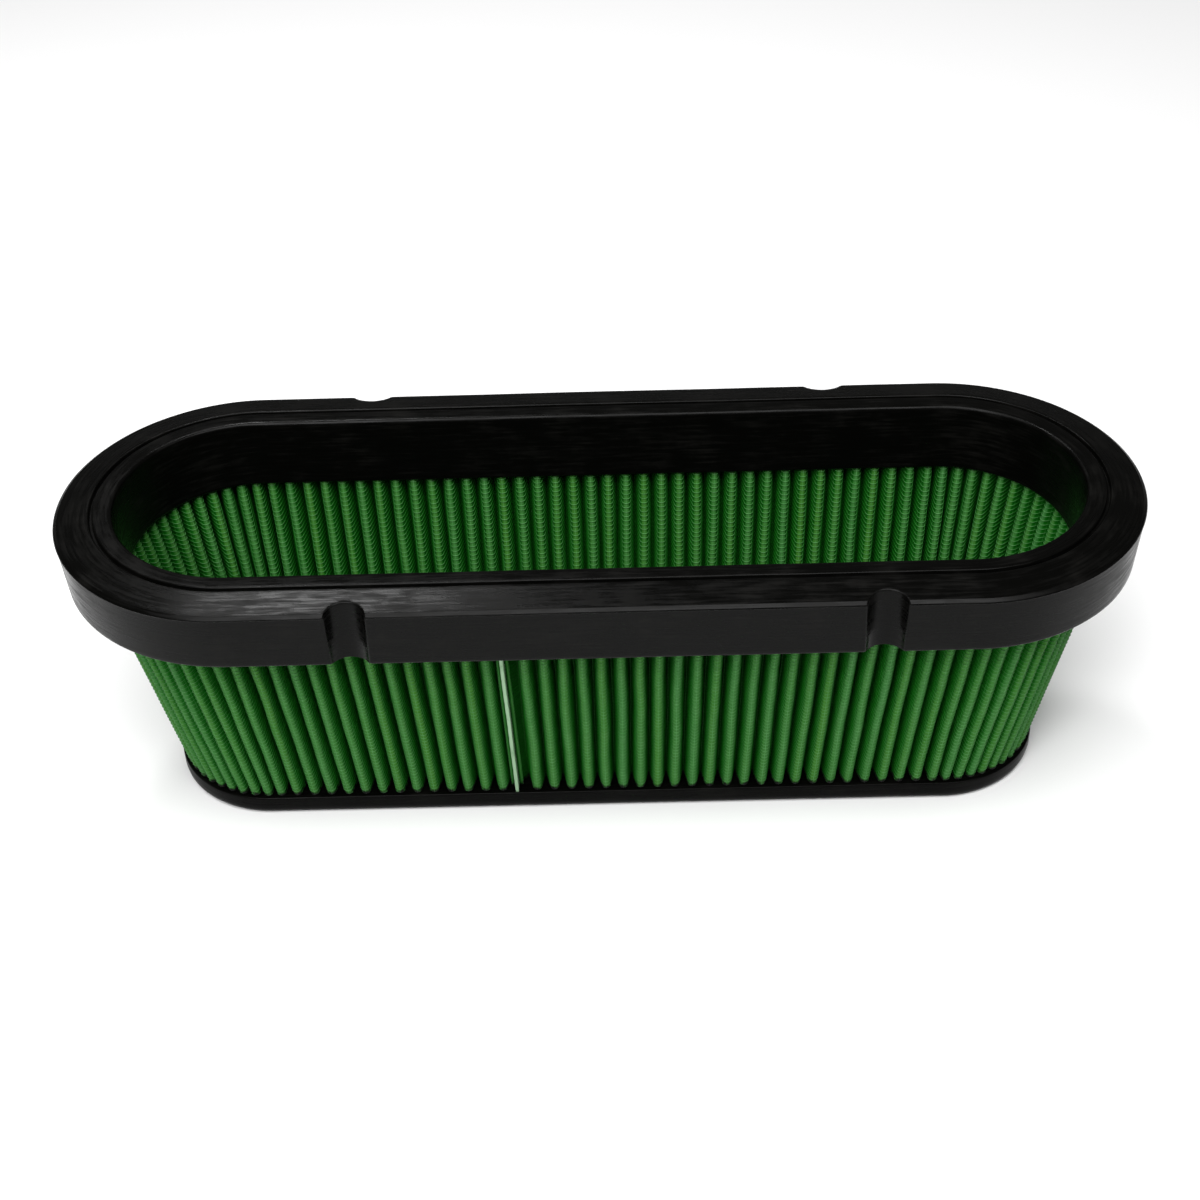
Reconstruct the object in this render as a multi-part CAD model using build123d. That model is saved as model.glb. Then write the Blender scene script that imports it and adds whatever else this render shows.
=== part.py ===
from build123d import *
import math
import os

# Washable pleated air filter element: a moulded oval top frame, a tapering pleated
# gauze basket and a closed bottom cap.  Millimetres, +Z up.  The origin is the centre
# of the flat underside of the bottom cap; X runs along the oval and the seam side of
# the basket faces -Y.

# --- top frame (moulded polyurethane) ---------------------------------------------
FRAME_LENGTH = 380.0
FRAME_WIDTH = 132.0
WALL_HEIGHT = 22.0          # outer wall, from the seating ledge to the shoulder edge
WALL_DRAFT = 1.5            # the outer wall's foot stands in by this much
SHOULDER_WIDTH = 12.4       # outer edge to the groove
SHOULDER_RISE = 2.2         # the groove stands this much above the outer edge
GROOVE_WIDTH = 1.5
GROOVE_DEPTH = 1.8
RIM_WIDTH = 6.4             # flat sealing rim inside the groove
INNER_DRAFT = 2.9           # the inner wall's foot stands further in than the rim
SHOULDER_RADIUS = 1.6       # outer shoulder edge
FOOT_RADIUS = 1.0           # foot of the outer wall and of the inner wall
RIM_RADIUS = 0.5            # groove mouth
LIP_RADIUS = 1.4            # inner corner of the rim
BEAD_WIDTH = 1.6            # potting bead, outside the pleat tips under the ledge
BEAD_DROP = 1.0             # the bead hangs this far below the seating ledge
BEAD_RADIUS = 0.4
FRONT_NOTCH_RADIUS = 6.8    # clearance scallops for the air box screws
FRONT_NOTCH_DEPTH = 6.0
FRONT_NOTCHES_X = (-83.0, 94.0)
BACK_NOTCH_RADIUS = 8.5
BACK_NOTCH_DEPTH = 4.6
BACK_NOTCHES_X = (-84.0, 84.0)
NOTCH_EDGE_RADIUS = 0.8

# --- basket ------------------------------------------------------------------------
LEDGE_HEIGHT = 94.0         # seating ledge (underside of the frame) above the cap's foot
LEDGE_WIDTH = 10.4          # seating ledge, from the wall's foot to the pleat tips
PLEAT_COUNT = 126
PLEAT_DEPTH_TOP = 10.0      # outer fold to inner fold, at the ledge
PLEAT_DEPTH_BOTTOM = 9.0    # the same, at the top of the cap
PLEAT_SPREAD = 0.35         # 0 keeps a bend's pleats on the bend, 1 spaces all evenly
SCREEN_THICKNESS = 0.30     # coated wire screen
PLY_THICKNESS = 0.24        # one ply of cotton gauze
PLY_COUNT = 4
FOLD_HALF_WIDTH = 0.14      # half the flat of the tightest layer in a fold
LEG_LEAN = 0.9              # a layer's sideways step in a leg, as a share of its thickness
TOP_POTTING = 9.0           # how far the pleats stand up into the frame
BOTTOM_POTTING = 4.5        # how far the pleats stand down into the cap

# --- bottom cap (moulded polyurethane) ---------------------------------------------
CAP_LENGTH = 323.0
CAP_WIDTH = 75.0
CAP_HEIGHT = 8.0
CAP_OVERLAP = 1.0           # the cap's side stands out past the pleat tips
RIDGE_OVERLAP = 2.0         # the potting ridge stands in past the inner folds
CAP_FLOOR = 5.0             # thickness of the closed floor inside the potting ridge
CAP_EDGE_RADIUS = 3.2
CAP_TOP_RADIUS = 0.6
FOOT_WIDTH = 9.0            # flat land the cap stands on
FOOT_DEPTH = 1.2            # the underside inside the land is raised by this much

# --- seam --------------------------------------------------------------------------
SEAM_PLEAT = -5             # the pleat that holds the joint, counted from the front middle
SEAM_SHIFT = -1.1           # the joint sits off the centre of its pleat
STRIP_THICKNESS = 1.3
STRIP_DEPTH = 6.0           # how far in the strip reaches between the two end pleats
STRIP_PROUD = 0.3           # the strip stands out past the pleat tips

# --- worked out --------------------------------------------------------------------
STACK = 2 * SCREEN_THICKNESS + PLY_COUNT * PLY_THICKNESS
SHOULDER_Z = LEDGE_HEIGHT + WALL_HEIGHT
RIM_Z = SHOULDER_Z + SHOULDER_RISE
FRAME_STRAIGHT = FRAME_LENGTH - FRAME_WIDTH
CAP_STRAIGHT = CAP_LENGTH - CAP_WIDTH
TIP_RADIUS_TOP = FRAME_WIDTH / 2 - WALL_DRAFT - LEDGE_WIDTH
TIP_RADIUS_BOTTOM = CAP_WIDTH / 2 - CAP_OVERLAP
PACK_TOP_Z = LEDGE_HEIGHT + TOP_POTTING
PACK_BOTTOM_Z = CAP_HEIGHT - BOTTOM_POTTING
TOP_PERIMETER = 2 * FRAME_STRAIGHT + 2 * math.pi * TIP_RADIUS_TOP


class Level:
    """Oval of the outer folds at one height; its sizes change evenly from cap to ledge."""

    def __init__(self, z):
        share = (z - CAP_HEIGHT) / (LEDGE_HEIGHT - CAP_HEIGHT)
        self.z = z
        self.straight = CAP_STRAIGHT + (FRAME_STRAIGHT - CAP_STRAIGHT) * share
        self.radius = TIP_RADIUS_BOTTOM + (TIP_RADIUS_TOP - TIP_RADIUS_BOTTOM) * share
        self.depth = PLEAT_DEPTH_BOTTOM + (PLEAT_DEPTH_TOP - PLEAT_DEPTH_BOTTOM) * share
        self.bend = math.pi * self.radius
        self.perimeter = 2 * (self.straight + self.bend)

    def matched_run(self, run):
        """Distance round this oval of the spot that lies at `run` round the top one."""
        half = FRAME_STRAIGHT / 2
        bend = math.pi * TIP_RADIUS_TOP
        if run < half:
            return run * self.straight / FRAME_STRAIGHT
        if run < half + bend:
            return self.straight / 2 + (run - half) * self.bend / bend
        past = run - half - bend
        return self.straight / 2 + self.bend + past * self.straight / FRAME_STRAIGHT

    def run(self, station):
        """Distance round this oval, from the front middle, of a pleat station."""
        turn = station / PLEAT_COUNT
        turn -= round(turn)
        matched = math.copysign(self.matched_run(abs(turn) * TOP_PERIMETER), turn)
        even = turn * self.perimeter
        return matched + (even - matched) * PLEAT_SPREAD

    def place(self, station, inset, along=0.0):
        """Point `inset` inside the outer folds and `along` mm past a pleat station."""
        run = self.run(station)
        side = math.copysign(1, run)
        distance = abs(run)
        reach = self.radius - inset
        half = self.straight / 2
        if distance < half:
            return (run + along, -reach, self.z)
        if distance < half + self.bend:
            angle = (distance - half) / self.radius
            x = half + reach * math.sin(angle) + side * along * math.cos(angle)
            y = -reach * math.cos(angle) + side * along * math.sin(angle)
            return (side * x, y, self.z)
        back = 2 * half + self.bend - distance
        return (side * back - along, reach, self.z)


def layer_edge(level, depth):
    """Zigzag of one boundary `depth` into the stack, from the seam round to the seam."""
    rest = STACK - depth
    outer_half = FOLD_HALF_WIDTH + rest * LEG_LEAN
    inner_half = FOLD_HALF_WIDTH + depth * LEG_LEAN
    inner_inset = level.depth - rest
    flank = STRIP_THICKNESS / 2 + rest
    points = [
        level.place(SEAM_PLEAT, STACK, SEAM_SHIFT + flank),
        level.place(SEAM_PLEAT, STRIP_DEPTH, SEAM_SHIFT + flank),
    ]
    for pleat in range(SEAM_PLEAT, SEAM_PLEAT + PLEAT_COUNT):
        if pleat > SEAM_PLEAT:
            points.append(level.place(pleat, depth, -outer_half))
            points.append(level.place(pleat, depth, outer_half))
        points.append(level.place(pleat + 0.5, inner_inset, -inner_half))
        points.append(level.place(pleat + 0.5, inner_inset, inner_half))
    points.append(level.place(SEAM_PLEAT, STRIP_DEPTH, SEAM_SHIFT - flank))
    points.append(level.place(SEAM_PLEAT, STACK, SEAM_SHIFT - flank))
    return points


def pleated_layer(outer, inner):
    """Pleated sheet between two depths of the stack, potted at both ends."""
    wires = []
    for z in (PACK_BOTTOM_Z, PACK_TOP_Z):
        level = Level(z)
        points = layer_edge(level, outer) + layer_edge(level, inner)[::-1]
        wires.append(Wire.make_polygon([Vector(*p) for p in points], close=True))
    return Solid.make_loft(wires, ruled=True)


def seam_strip():
    """Strip that joins the two ends of the pleated sheet."""
    half = STRIP_THICKNESS / 2
    wires = []
    for z in (PACK_BOTTOM_Z, PACK_TOP_Z):
        level = Level(z)
        points = [
            level.place(SEAM_PLEAT, -STRIP_PROUD, SEAM_SHIFT - half),
            level.place(SEAM_PLEAT, -STRIP_PROUD, SEAM_SHIFT + half),
            level.place(SEAM_PLEAT, STRIP_DEPTH, SEAM_SHIFT + half),
            level.place(SEAM_PLEAT, STRIP_DEPTH, SEAM_SHIFT - half),
        ]
        wires.append(Wire.make_polygon([Vector(*p) for p in points], close=True))
    return Solid.make_loft(wires, ruled=True)


def frame_section():
    """Section of the frame's moulding: reach from the oval's spine, and height."""
    edge = FRAME_WIDTH / 2
    groove_out = edge - SHOULDER_WIDTH
    groove_in = groove_out - GROOVE_WIDTH
    lip = groove_in - RIM_WIDTH
    bead = TIP_RADIUS_TOP + BEAD_WIDTH
    bead_z = LEDGE_HEIGHT - BEAD_DROP
    groove_z = RIM_Z - GROOVE_DEPTH
    corners = [
        ((edge - WALL_DRAFT, LEDGE_HEIGHT), FOOT_RADIUS),
        ((edge, SHOULDER_Z), SHOULDER_RADIUS),
        ((groove_out, RIM_Z), RIM_RADIUS),
        ((groove_out, groove_z), RIM_RADIUS),
        ((groove_in, groove_z), RIM_RADIUS),
        ((groove_in, RIM_Z), RIM_RADIUS),
        ((lip, RIM_Z), LIP_RADIUS),
        ((lip - INNER_DRAFT, bead_z), FOOT_RADIUS),
        ((bead, bead_z), BEAD_RADIUS),
        ((bead, LEDGE_HEIGHT), BEAD_RADIUS),
    ]
    points = [point for point, radius in corners]
    radii = [radius for point, radius in corners]
    return make_face(FilletPolyline(*points, radius=radii, close=True))


def oval_ring(section, straight):
    """Carry a section round an oval: two straight runs and two half turns."""
    end = Plane(origin=(straight / 2, 0, 0), x_dir=(0, -1, 0), z_dir=(-1, 0, 0))
    run = extrude(end * section, straight)
    bend = revolve(end * section, Axis((straight / 2, 0, 0), (0, 0, 1)), 180)
    half = run + bend
    return half + Rot(0, 0, 180) * half


def notch(x, side, radius, depth):
    """Upright round cutter for one scallop; side -1 is the seam side."""
    y = side * (FRAME_WIDTH / 2 + radius - depth)
    column = Cylinder(radius, WALL_HEIGHT * 2, align=(Align.CENTER, Align.CENTER, Align.CENTER))
    return Pos(x, y, LEDGE_HEIGHT + WALL_HEIGHT / 2) * column


def notch_edges(body, x, side):
    """Upright edges that a scallop leaves in the outer wall."""
    reach = FRAME_WIDTH / 2 - WALL_DRAFT
    found = []
    for edge in body.edges():
        middle = edge @ 0.5
        upright = abs((edge % 0.5).Z) > 0.9
        if upright and side * middle.Y > reach - 1 and abs(middle.X - x) < 2 * BACK_NOTCH_RADIUS:
            found.append(edge)
    return found


def top_frame(pack, strip):
    """Moulded frame: wall, shoulder, groove, rim, scallops and the potting round the pleats."""
    body = oval_ring(frame_section(), FRAME_STRAIGHT)
    notches = [(x, -1, FRONT_NOTCH_RADIUS, FRONT_NOTCH_DEPTH) for x in FRONT_NOTCHES_X]
    notches += [(x, 1, BACK_NOTCH_RADIUS, BACK_NOTCH_DEPTH) for x in BACK_NOTCHES_X]
    for size in notches:
        body -= notch(*size)
    for x, side, _, _ in notches:
        body = fillet(notch_edges(body, x, side), NOTCH_EDGE_RADIUS)
    return body - pack - strip


def oval(straight, radius):
    """Flat oval face."""
    return SlotCenterToCenter(straight, 2 * radius)


def bottom_cap(pack, strip):
    """Closed moulded cap: rounded rim, potting ridge, thinner floor and standing land."""
    radius = CAP_WIDTH / 2
    body = extrude(oval(CAP_STRAIGHT, radius), CAP_HEIGHT)
    foot_edges = body.edges().group_by(Axis.Z)[0]
    body = fillet(foot_edges, CAP_EDGE_RADIUS)
    top_edges = body.edges().group_by(Axis.Z)[-1]
    body = fillet(top_edges, CAP_TOP_RADIUS)
    well_radius = TIP_RADIUS_BOTTOM - PLEAT_DEPTH_BOTTOM - RIDGE_OVERLAP
    well = extrude(oval(CAP_STRAIGHT, well_radius), CAP_HEIGHT)
    body -= Pos(0, 0, CAP_FLOOR) * well
    hollow = extrude(oval(CAP_STRAIGHT, radius - CAP_EDGE_RADIUS - FOOT_WIDTH), FOOT_DEPTH)
    body -= hollow
    return body - pack - strip


def build():
    """Every piece of the element, by the name of its node."""
    pack = pleated_layer(0, STACK)
    strip = seam_strip()
    pieces = {
        "top_frame": top_frame(pack, strip),
        "bottom_cap": bottom_cap(pack, strip),
        "seam_strip": strip,
        "outer_wire_screen": pleated_layer(0, SCREEN_THICKNESS),
    }
    for ply in range(PLY_COUNT):
        outer = SCREEN_THICKNESS + ply * PLY_THICKNESS
        pieces[f"gauze_ply_{ply + 1}"] = pleated_layer(outer, outer + PLY_THICKNESS)
    pieces["inner_wire_screen"] = pleated_layer(STACK - SCREEN_THICKNESS, STACK)
    return pieces


os.makedirs("parts", exist_ok=True)
for name, piece in build().items():
    export_step(piece, f"parts/{name}.step")
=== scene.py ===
"""Looks of an oval pleated air filter element, built round its fixed CAD frame.

A moulded polyurethane frame and cap hold a tapering basket of pleated cotton gauze
between two coated wire screens.  Every length is in metres, in the CAD's own frame.
"""

from __future__ import annotations

import logging
import math
from collections.abc import Iterable, Sequence
from dataclasses import dataclass, field
from enum import Enum

import bmesh
import bpy
import numpy as np
from mathutils import Matrix, Vector, noise


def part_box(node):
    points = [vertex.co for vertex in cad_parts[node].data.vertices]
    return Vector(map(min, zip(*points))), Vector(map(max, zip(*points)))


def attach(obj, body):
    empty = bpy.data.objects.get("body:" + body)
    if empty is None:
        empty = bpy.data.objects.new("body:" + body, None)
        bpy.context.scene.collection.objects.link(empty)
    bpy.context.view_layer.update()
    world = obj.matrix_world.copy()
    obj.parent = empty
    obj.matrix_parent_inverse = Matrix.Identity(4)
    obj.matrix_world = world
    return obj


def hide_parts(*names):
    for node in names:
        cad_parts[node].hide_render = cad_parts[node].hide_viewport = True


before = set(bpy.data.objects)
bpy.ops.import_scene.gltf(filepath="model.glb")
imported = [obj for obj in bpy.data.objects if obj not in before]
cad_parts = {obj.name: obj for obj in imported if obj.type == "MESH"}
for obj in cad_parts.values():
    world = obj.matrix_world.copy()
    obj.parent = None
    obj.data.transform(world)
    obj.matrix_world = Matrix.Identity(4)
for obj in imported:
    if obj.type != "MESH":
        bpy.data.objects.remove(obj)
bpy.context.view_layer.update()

LOG = logging.getLogger("filter_element")
MM = 0.001
BODY = "root"
BEAD_DROP = 1.0 * MM
LEDGE_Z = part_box("top_frame")[0][2] + BEAD_DROP
CAP_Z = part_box("bottom_cap")[1][2]
WICK_REACH = 2.2 * MM
WICK_SPREAD = 4.6 * MM
RESIN = (0.0045, 0.0042, 0.0040, 1.0)


# --- shader graphs -------------------------------------------------------------------


class Link:
    """One output socket, with arithmetic that adds Math nodes behind it."""

    def __init__(self, graph: "Graph", socket: bpy.types.NodeSocket) -> None:
        """Keep the socket and the graph it belongs to."""
        self.graph = graph
        self.socket = socket

    def math(self, operation: str, *terms: "Link | float") -> "Link":
        """Result of one Math node.

        Args:
            operation: The Math node's operation.
            terms: What goes into its inputs, in order.

        Returns:
            The node's output.
        """
        return self.graph.node("ShaderNodeMath", {"operation": operation}, dict(enumerate(terms)))

    def __add__(self, other: "Link | float") -> "Link":
        """self + other."""
        return self.math("ADD", self, other)

    __radd__ = __add__

    def __sub__(self, other: "Link | float") -> "Link":
        """self - other."""
        return self.math("SUBTRACT", self, other)

    def __rsub__(self, other: float) -> "Link":
        """other - self."""
        return self.math("SUBTRACT", other, self)

    def __mul__(self, other: "Link | float") -> "Link":
        """self * other."""
        return self.math("MULTIPLY", self, other)

    __rmul__ = __mul__

    def __truediv__(self, other: "Link | float") -> "Link":
        """self / other."""
        return self.math("DIVIDE", self, other)

    def __pow__(self, power: float) -> "Link":
        """self raised to a power."""
        return self.math("POWER", self, power)

    def sine(self) -> "Link":
        """Sine of self, in radians."""
        return self.math("SINE", self)

    def size(self) -> "Link":
        """Absolute value."""
        return self.math("ABSOLUTE", self)

    def at_most(self, other: "Link | float") -> "Link":
        """The smaller of the two."""
        return self.math("MINIMUM", self, other)

    def at_least(self, other: "Link | float") -> "Link":
        """The larger of the two."""
        return self.math("MAXIMUM", self, other)

    def step(self, low: float, high: float) -> "Link":
        """0 below low, 1 above high, smooth between."""
        settings = {"interpolation_type": "SMOOTHSTEP"}
        return self.graph.node("ShaderNodeMapRange", settings, {0: self, 1: low, 2: high})


class Graph:
    """The node tree of one material."""

    def __init__(self, name: str) -> None:
        """Start an empty node tree in a new material."""
        self.material = bpy.data.materials.new(name)
        self.material.use_nodes = True
        self.tree = self.material.node_tree
        self.tree.nodes.clear()

    def node(
        self,
        kind: str,
        settings: dict[str, object] | None = None,
        inputs: dict[int | str, object] | None = None,
        output: int | str = 0,
    ) -> Link:
        """Add one node.

        Args:
            kind: The node's type.
            settings: Its own settings; "stops" holds a ramp's (place, colour) pairs.
            inputs: The value or link of each socket, by name or number.
            output: The output that is handed back.

        Returns:
            That output.
        """
        made = self.tree.nodes.new(kind)
        for name, value in (settings or {}).items():
            if name == "stops":
                self._fill_ramp(made.color_ramp, value)
            else:
                setattr(made, name, value)
        for key, value in (inputs or {}).items():
            if isinstance(value, Link):
                self.tree.links.new(value.socket, made.inputs[key])
            else:
                made.inputs[key].default_value = value
        return Link(self, made.outputs[output] if made.outputs else made.inputs[0])

    @staticmethod
    def _fill_ramp(ramp: bpy.types.ColorRamp, stops: Sequence[tuple[float, Sequence[float]]]) -> None:
        """Give a colour ramp its stops."""
        while len(ramp.elements) > len(stops):
            ramp.elements.remove(ramp.elements[-1])
        while len(ramp.elements) < len(stops):
            ramp.elements.new(1.0)
        for element, (place, colour) in zip(ramp.elements, stops):
            element.position = place
            element.color = (*colour, 1.0)

    def place(self) -> Link:
        """Object coordinates, in metres."""
        return self.node("ShaderNodeTexCoord", output="Object")

    def attribute(self, name: str, output: str = "Vector") -> Link:
        """A value stored on the mesh."""
        return self.node("ShaderNodeAttribute", {"attribute_name": name}, output=output)

    def split(self, vector: Link) -> tuple[Link, Link, Link]:
        """The three parts of a vector."""
        first = self.node("ShaderNodeSeparateXYZ", inputs={0: vector})
        outputs = first.socket.node.outputs
        return first, Link(self, outputs[1]), Link(self, outputs[2])

    def noise(self, where: Link, scale: float, detail: float = 2.0, rough: float = 0.5) -> Link:
        """Fractal noise from 0 to 1.

        Args:
            where: Coordinates.
            scale: Cells per metre.
            detail: Octaves.
            rough: How strong the fine octaves are.

        Returns:
            The noise value.
        """
        inputs = {"Vector": where, "Scale": scale, "Detail": detail, "Roughness": rough}
        return self.node("ShaderNodeTexNoise", inputs=inputs, output=0)

    def blend(self, share: Link, first: object, second: object) -> Link:
        """Mix of two colours."""
        inputs = {0: share, 6: first, 7: second}
        return self.node("ShaderNodeMix", {"data_type": "RGBA"}, inputs, output=2)

    def bump(self, height: Link, distance: float, strength: float = 1.0) -> Link:
        """Normal that follows a height, in metres at full height."""
        inputs = {"Height": height, "Distance": distance, "Strength": strength}
        return self.node("ShaderNodeBump", inputs=inputs)

    def potted(self) -> Link:
        """1 where potting resin has wicked into the pleats at either end, ragged below."""
        where = self.place()
        height = self.split(where)[2]
        ragged = (self.noise(where, 420.0, 3.0, 0.6) - 0.5) * WICK_SPREAD
        top = (height + ragged).step(LEDGE_Z - WICK_REACH, LEDGE_Z - WICK_REACH * 0.3)
        foot = 1.0 - (height + ragged).step(CAP_Z + WICK_REACH * 0.3, CAP_Z + WICK_REACH)
        return top.at_least(foot)

    def surface(self, inputs: dict[int | str, object]) -> bpy.types.Material:
        """Close the graph with a Principled shader and hand back its material."""
        shader = self.node("ShaderNodeBsdfPrincipled", inputs=inputs)
        self.node("ShaderNodeOutputMaterial", inputs={"Surface": shader})
        return self.material


def rgba(colour: Sequence[float]) -> tuple[float, ...]:
    """A colour with full alpha."""
    return (*colour, 1.0)


# --- finishes ------------------------------------------------------------------------


@dataclass(frozen=True)
class MouldedPolyurethane:
    """Black cast polyurethane: flow lines along the mould, fine pits, a film of dust."""

    name: str = "moulded_polyurethane"
    body: tuple[float, float, float] = (0.0012, 0.0012, 0.0010)
    dusty: tuple[float, float, float] = (0.0045, 0.0043, 0.0038)
    roughness: tuple[float, float] = (0.20, 0.46)
    specular: float = 0.09

    def material(self) -> bpy.types.Material:
        """Build the material on the moulding's own flow coordinates."""
        graph = Graph(self.name)
        where = graph.place()
        flow = graph.attribute("flow")
        streaks = graph.noise(flow, 70.0, 4.0, 0.6)
        cloud = graph.noise(where, 60.0, 4.0, 0.6)
        grain = graph.noise(where, 1900.0, 2.0, 0.6)
        pits = graph.node(
            "ShaderNodeTexVoronoi", {"feature": "F1"}, {"Vector": where, "Scale": 420.0}
        )
        pit = 1.0 - pits.step(0.05, 0.16)
        dust = (streaks * 0.5 + cloud * 0.5).step(0.48, 0.70)
        colour = graph.blend(dust, rgba(self.body), rgba(self.dusty))
        low, high = self.roughness
        sheen = (streaks * 0.6 + cloud * 0.4).step(0.36, 0.66) * (high - low) + low
        relief = streaks * 0.45 + cloud * 0.5 + grain * 0.14 - pit * 0.10
        return graph.surface(
            {
                "Base Color": colour,
                "Roughness": sheen,
                "Normal": graph.bump(relief, 0.30 * MM, 0.30),
                "Specular IOR Level": self.specular,
                "IOR": 1.48,
            }
        )


@dataclass(frozen=True)
class CoatedWire:
    """Epoxy coated aluminium wire: green and glossy, with a patchy painted highlight on its high spots and painted
    shade in its low spots.
    """

    name: str = "coated_wire"
    coat: tuple[float, float, float] = (0.012, 0.170, 0.012)
    # the pale green is a painted highlight along the crests, the darkest green a painted shade in the pleat valleys
    painted_crest_highlight: tuple[float, float, float] = (0.13, 0.32, 0.12)
    painted_valley_shade: tuple[float, float, float] = (0.0, 0.060, 0.0)
    # strength of the painted crest highlight
    crest_highlight_strength: float = 0.6

    def material(self) -> bpy.types.Material:
        """Build the material; the painted highlight and shade follow the fold height that the mesh stores."""
        graph = Graph(self.name)
        where = graph.place()
        tip = graph.attribute("tip", "Fac")
        blotch = graph.noise(where, 260.0, 3.0, 0.6)
        # patchy painted highlight on the high spots
        crest_highlight_mask = tip.step(0.55, 1.0) * (blotch.step(0.25, 0.75) * 0.5 + 0.5) * self.crest_highlight_strength
        # painted shade in the low spots, fading into the coat green
        coat = graph.blend(tip.step(0.10, 0.75), rgba(self.painted_valley_shade), rgba(self.coat))
        colour = graph.blend(crest_highlight_mask, coat, rgba(self.painted_crest_highlight))
        return graph.surface(
            {
                "Base Color": graph.blend(graph.potted(), colour, RESIN),
                "Roughness": blotch * 0.2 + 0.34,
                "Specular IOR Level": 0.3,
            }
        )


@dataclass(frozen=True)
class OiledGauze:
    """Oiled cotton gauze: open plain weave, slubs, patches of oil that make it glossier, painted shade in the pleat
    valleys and a painted highlight along the crests.
    """

    name: str = "oiled_gauze"
    # the two crest colours are a painted highlight along the pleat crests; a random pleat-by-pleat tint picks
    # between them
    crest_highlight: tuple[float, float, float] = (0.046, 0.185, 0.045)
    crest_highlight_warm: tuple[float, float, float] = (0.050, 0.190, 0.022)
    # leg is the flanks' own green; fold is a painted shade in the pleat valleys, also mixed into the gaps between
    # threads
    leg: tuple[float, float, float] = (0.002, 0.130, 0.002)
    fold: tuple[float, float, float] = (0.0, 0.075, 0.0)
    thread: float = 0.55 * MM
    # fold height at which the painted crest highlight starts
    crest_highlight_from: float = 0.72

    def material(self) -> bpy.types.Material:
        """Build the material on the cloth's own unfolded coordinates."""
        graph = Graph(self.name)
        where = graph.place()
        across, along, _ = graph.split(graph.attribute("cloth"))
        turns = 2.0 * math.pi / self.thread
        slub = graph.noise(where, 700.0, 3.0, 0.6)
        warp = (across * turns + slub * 1.6).sine() * 0.5 + 0.5
        weft = (along * turns + slub * 1.6).sine() * 0.5 + 0.5
        weave = warp.at_least(weft) * 0.7 + warp * weft * 0.3
        tip = graph.attribute("tip", "Fac")
        pool = graph.noise(where, 90.0, 4.0, 0.65)
        per_pleat = graph.node(
            "ShaderNodeMapping", inputs={"Vector": graph.attribute("cloth"), "Scale": (60.0, 6.0, 1.0)}
        )
        tint = graph.noise(per_pleat, 1.0, 2.0, 0.6)
        # fold height from the mesh, jittered by the oil noise; it places the painted shade and the painted
        # highlight
        height = (tip + (pool - 0.5) * 0.12).at_most(1.0)
        # painted shade in the valleys, fading into the flank green
        low = graph.blend(height.step(0.08, 0.62), rgba(self.fold), rgba(self.leg))
        # painted highlight colour for the crests
        high = graph.blend(tint.step(0.22, 0.78), rgba(self.crest_highlight), rgba(self.crest_highlight_warm))
        # towards the crests the painted highlight takes over
        cloth = graph.blend(height.step(self.crest_highlight_from, 1.0), low, high)
        gaps = (1.0 - weave) * 0.30 + slub * 0.1
        # gaps between threads are mixed toward the dark fold colour
        woven = graph.blend(gaps, cloth, rgba(self.fold))
        return graph.surface(
            {
                "Base Color": graph.blend(graph.potted(), woven, RESIN),
                "Roughness": 0.82 - pool.step(0.4, 0.8) * 0.30,
                "Normal": graph.bump(weave + slub * 0.6, 0.12 * MM, 0.8),
                "Specular IOR Level": 0.15,
            }
        )


@dataclass(frozen=True)
class BareAluminium:
    """Rolled aluminium strip with fine lines along it and dull handling marks."""

    name: str = "bare_aluminium"
    metal: tuple[float, float, float] = (0.27, 0.42, 0.26)
    stained: tuple[float, float, float] = (0.12, 0.25, 0.11)

    def material(self) -> bpy.types.Material:
        """Build the material."""
        graph = Graph(self.name)
        where = graph.place()
        stretched = graph.node(
            "ShaderNodeMapping", inputs={"Vector": where, "Scale": (9000.0, 9000.0, 60.0)}
        )
        lines = graph.noise(stretched, 1.0, 2.0, 0.5)
        marks = graph.noise(where, 220.0, 4.0, 0.6)
        colour = graph.blend(marks.step(0.5, 0.8), rgba(self.metal), rgba(self.stained))
        return graph.surface(
            {
                "Base Color": colour,
                "Metallic": 0.35,
                "Roughness": lines * 0.12 + marks * 0.12 + 0.34,
                "Normal": graph.bump(lines, 0.04 * MM, 0.5),
            }
        )


@dataclass(frozen=True)
class StudioPaper:
    """Pale seamless paper under the element."""

    name: str = "studio_paper"
    colour: tuple[float, float, float] = (0.90, 0.90, 0.90)

    def material(self) -> bpy.types.Material:
        """Build the material."""
        graph = Graph(self.name)
        fibre = graph.noise(graph.place(), 900.0, 2.0, 0.5)
        tint = graph.blend(fibre * 0.05, rgba(self.colour), rgba((0.86, 0.86, 0.86)))
        return graph.surface({"Base Color": tint, "Roughness": 0.9, "Specular IOR Level": 0.1})


# --- mesh helpers --------------------------------------------------------------------


def mesh_object(
    name: str,
    points: np.ndarray,
    faces: np.ndarray,
    material: bpy.types.Material,
    smooth: bool = True,
) -> bpy.types.Object:
    """Object from points and quads.

    Args:
        name: The piece's name.
        points: One row of three coordinates for each vertex.
        faces: One row of four vertex numbers for each quad.
        material: The piece's finish.
        smooth: Whether the faces are shaded smooth.

    Returns:
        The linked object.
    """
    mesh = bpy.data.meshes.new(name)
    mesh.from_pydata(points.reshape(-1, 3).tolist(), [], faces.reshape(-1, 4).tolist())
    mesh.materials.append(material)
    mesh.polygons.foreach_set("use_smooth", [smooth] * len(mesh.polygons))
    mesh.update()
    made = bpy.data.objects.new(name, mesh)
    bpy.context.scene.collection.objects.link(made)
    return made


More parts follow.
